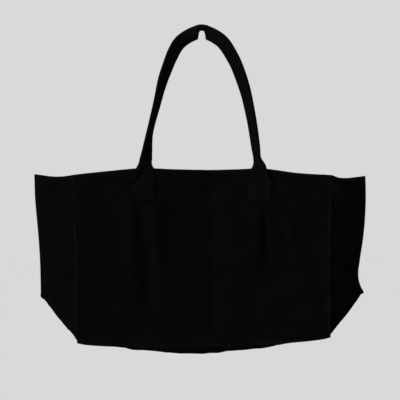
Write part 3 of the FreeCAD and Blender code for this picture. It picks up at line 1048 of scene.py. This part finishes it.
def free_ring(side, end, edge, tangent, high):
    """A section of a strap in the air, turned about itself, its outer side on the edge line."""
    across, out = strap_section(through(FOLDED_OVER[end], high)[0, 0])
    across = across - (across.max() + across.min()) / 2
    out = out - (out.max() + out.min()) / 2
    at_hook = 1 - smooth(abs(edge[0]), HOOK_FLAT, HOOK_CLEAR)
    turned = lerp(through(TURNED[end], high)[0, 0], math.pi / 2, at_hook)
    outwards = unit(np.array([-tangent[2], 0, tangent[0]]))
    forwards = unit(np.cross(tangent, outwards)) * -side
    widthways = across * math.cos(turned) - out * math.sin(turned)
    thickways = across * math.sin(turned) + out * math.cos(turned)
    widthways = widthways - widthways.max()
    thickways = thickways - thickways.max() * (1 - smooth(high, *KEEPS_IN))
    return edge + widthways[:, None] * outwards + thickways[:, None] * forwards


def strap_rings(side):
    """The sections of a strap, from one sewn end over the hook to the other, and their heights."""
    edge = np.array(OUTER_EDGE)
    if side == BACK:
        edge[0, 0] -= BACK_FEET_OUT[0]
        edge[-1, 0] += BACK_FEET_OUT[1]
        edge[1:5, 0] += BACK_LEG_IN
    gone = lengths_along(edge)
    at = np.linspace(0, gone[-1], FREE_RINGS)
    x, z = through(np.column_stack([gone, edge]), at).T
    rim = np.where(x < 0, edge[0, 1], edge[-1, 1])
    y = side * lerp(HOOK_Y, RIM_Y, np.clip(-z / 0.246, 0, 1))
    path = np.stack([x, y, z], axis=1)
    tangent = unit(np.gradient(path, axis=0))
    name = "front" if side == FRONT else "back"
    below = -np.linspace(TAB_LENGTH, 0.0015, TAB_RINGS)
    rings = [tab_ring(name, LEFT, high) for high in below]
    highs = list(below)
    for k in range(len(path)):
        end = LEFT if x[k] < 0 else RIGHT
        high = max(0.0, z[k] - rim[k])
        ring = free_ring(side, end, path[k], tangent[k], high)
        if high < LIFTS_OFF:
            ring = lerp(tab_ring(name, end, high), ring, smooth(high, 0, LIFTS_OFF))
        rings.append(ring)
        highs.append(high)
    rings += [tab_ring(name, RIGHT, high) for high in below[::-1]]
    highs += list(below[::-1])
    return np.array(rings), np.array(highs)


def make_strap(name):
    side = SIDES[name]
    rings, highs = strap_rings(side)
    if side == BACK:
        rings = rings[:, ::-1]
    worn = 0.25 + 0.45 * np.exp(-((highs - highs.max()) / 0.02) ** 2)
    strap = loft(f"{name}_strap_cloth", rings, "strap", worn)
    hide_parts(f"{name}_handle_strap", *(f"{name}_{end}_handle_end" for end in ENDS))
    out = normals_of_rings(rings)
    faces = ((0, ACROSS), (ACROSS, 2 * ACROSS))
    sewn_face, outer_face = faces if side == FRONT else faces[::-1]
    ends = (slice(0, END_ROWS), slice(-END_ROWS, None))
    runs = []
    for (first, last), parts in ((sewn_face, ends), (outer_face, (slice(20, -20),))):
        for column in (first + ROWS_IN[0], last - ROWS_IN[1]):
            runs += [(rings[part, column], out[part, column]) for part in parts]
    thread = stitches(f"{name}_strap_thread", runs, "thread")
    for piece in (strap, thread):
        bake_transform(piece)
    return strap, thread


def normals_of_rings(rings):
    along = np.gradient(rings, axis=0)
    beside = np.roll(rings, -1, axis=1) - np.roll(rings, 1, axis=1)
    return unit(np.cross(along, beside))


def make_box_stitches(name, end):
    """The box of stitching that holds one end of a strap to its panel, seen inside as well."""
    sign = ENDS[end]
    inner = INNER_EDGE[sign][0][1]
    near, far = inner + 0.003, inner + STRAP_WIDTH - 0.003
    rows = (0.0385, 0.0455, 0.052)
    lines = [[(near, v), (far, v)] for v in rows]
    lines += [[(near, 0.03), (near, rows[-1])], [(far, rows[0]), (far, rows[-1])]]
    lines += [[(near, rows[0]), (far, rows[-1])], [(far, rows[0]), (near, rows[-1])]]
    runs = []
    for (x0, v0), (x1, v1) in lines:
        share = np.linspace(0, 1, 13)
        for out in (CANVAS / 2 + LAID_ON + STRAP_THICKNESS + 0.00005, -CANVAS / 2 - 0.00005):
            found = [on_panel(cloth[name], normals[name], np.array([sign * x]), v)
                     for x, v in zip(lerp(x0, x1, share), lerp(v0, v1, share))]
            path = np.concatenate([spot + normal * out for spot, normal in found])
            normal = np.concatenate([normal for _, normal in found])
            runs.append((path, normal * math.copysign(1, out)))
    thread = stitches(f"{name}_{end}_tab_thread", runs, "thread")
    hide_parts(f"{name}_{end}_handle_stitching")
    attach(thread, BODY[name])
    return thread


# --- The whole bag ---
gussets = {(end, side): make_gusset(end, side) for end in ENDS for side in SIDES}
bindings = make_bindings()
base = thick_sheet("base_cloth", cloth["base"], "canvas", panel_wear(cloth["base"], 5))
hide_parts("base_panel")
follows_front(base)
for side in SIDES:
    panel, sewn_on = make_panel(side)
    for end in ENDS:
        sewn_on += make_ridge(side, end)
        sewn_on.append(make_box_stitches(side, end))
for end in ENDS:
    hem = make_gusset_hem(end)
for side in SIDES:
    strap, thread = make_strap(side)


# --- Floor, camera and light ---
def make_floor():
    size, level = 14.0, -0.95
    mesh = bpy.data.meshes.new("floor")
    corners = [(-size, -size, level), (size, -size, level), (size, size, level), (-size, size, level)]
    mesh.from_pydata(corners, [], [(0, 1, 2, 3)])
    material = bpy.data.materials.new("floor_paint")
    material.use_nodes = True
    shader = material.node_tree.nodes["Principled BSDF"]
    shader.inputs["Base Color"].default_value = (0.80, 0.80, 0.80, 1)
    shader.inputs["Roughness"].default_value = 1
    shader.inputs["Specular IOR Level"].default_value = 0
    mesh.materials.append(material)
    add_object("floor", mesh)


def make_camera():
    data = bpy.data.cameras.new("camera")
    data.lens = 123
    camera = add_object("camera", data)
    camera.location = (-0.0035, -2.44, -0.301)
    camera.rotation_euler = (math.pi / 2, 0, 0)
    bpy.context.scene.camera = camera


def make_area_light(name, location, target, size, power):
    data = bpy.data.lights.new(name, "AREA")
    data.energy = power
    data.size = size
    light = add_object(name, data)
    light.location = location
    aim = Vector(target) - Vector(location)
    light.rotation_euler = aim.to_track_quat("-Z", "Y").to_euler()


def make_sun(name, towards, strength, soft_degrees):
    """A large far light, which falls on all of the floor alike."""
    data = bpy.data.lights.new(name, "SUN")
    data.energy = strength
    data.angle = math.radians(soft_degrees)
    light = add_object(name, data)
    light.rotation_euler = Vector(towards).to_track_quat("Z", "Y").to_euler()


def make_sky():
    """Plain grey all round, which lights the bag less brightly than it looks."""
    world = bpy.data.worlds.new("studio")
    world.use_nodes = True
    tree = world.node_tree
    background = tree.nodes["Background"]
    path = tree.nodes.new("ShaderNodeLightPath")
    mix = tree.nodes.new("ShaderNodeMix")
    mix.data_type = "RGBA"
    mix.inputs[6].default_value = (0.16, 0.16, 0.16, 1)
    mix.inputs[7].default_value = (0.694, 0.694, 0.694, 1)
    link(tree, (path.outputs["Is Camera Ray"], mix.inputs[0]), (mix.outputs[2], background.inputs[0]))
    bpy.context.scene.world = world


make_floor()
make_camera()
make_sky()
make_sun("key", (-2.2, -1.6, 1.25), 2.9, 28)
make_sun("back", (1.6, 2.4, 0.8), 1.15, 28)
make_sun("top", (0, 0, 1), 0.70, 40)
make_area_light("fill", (2.4, -2.0, 0.2), (0, 0, -0.35), 2.0, 5)
bpy.context.scene.view_settings.view_transform = "Standard"
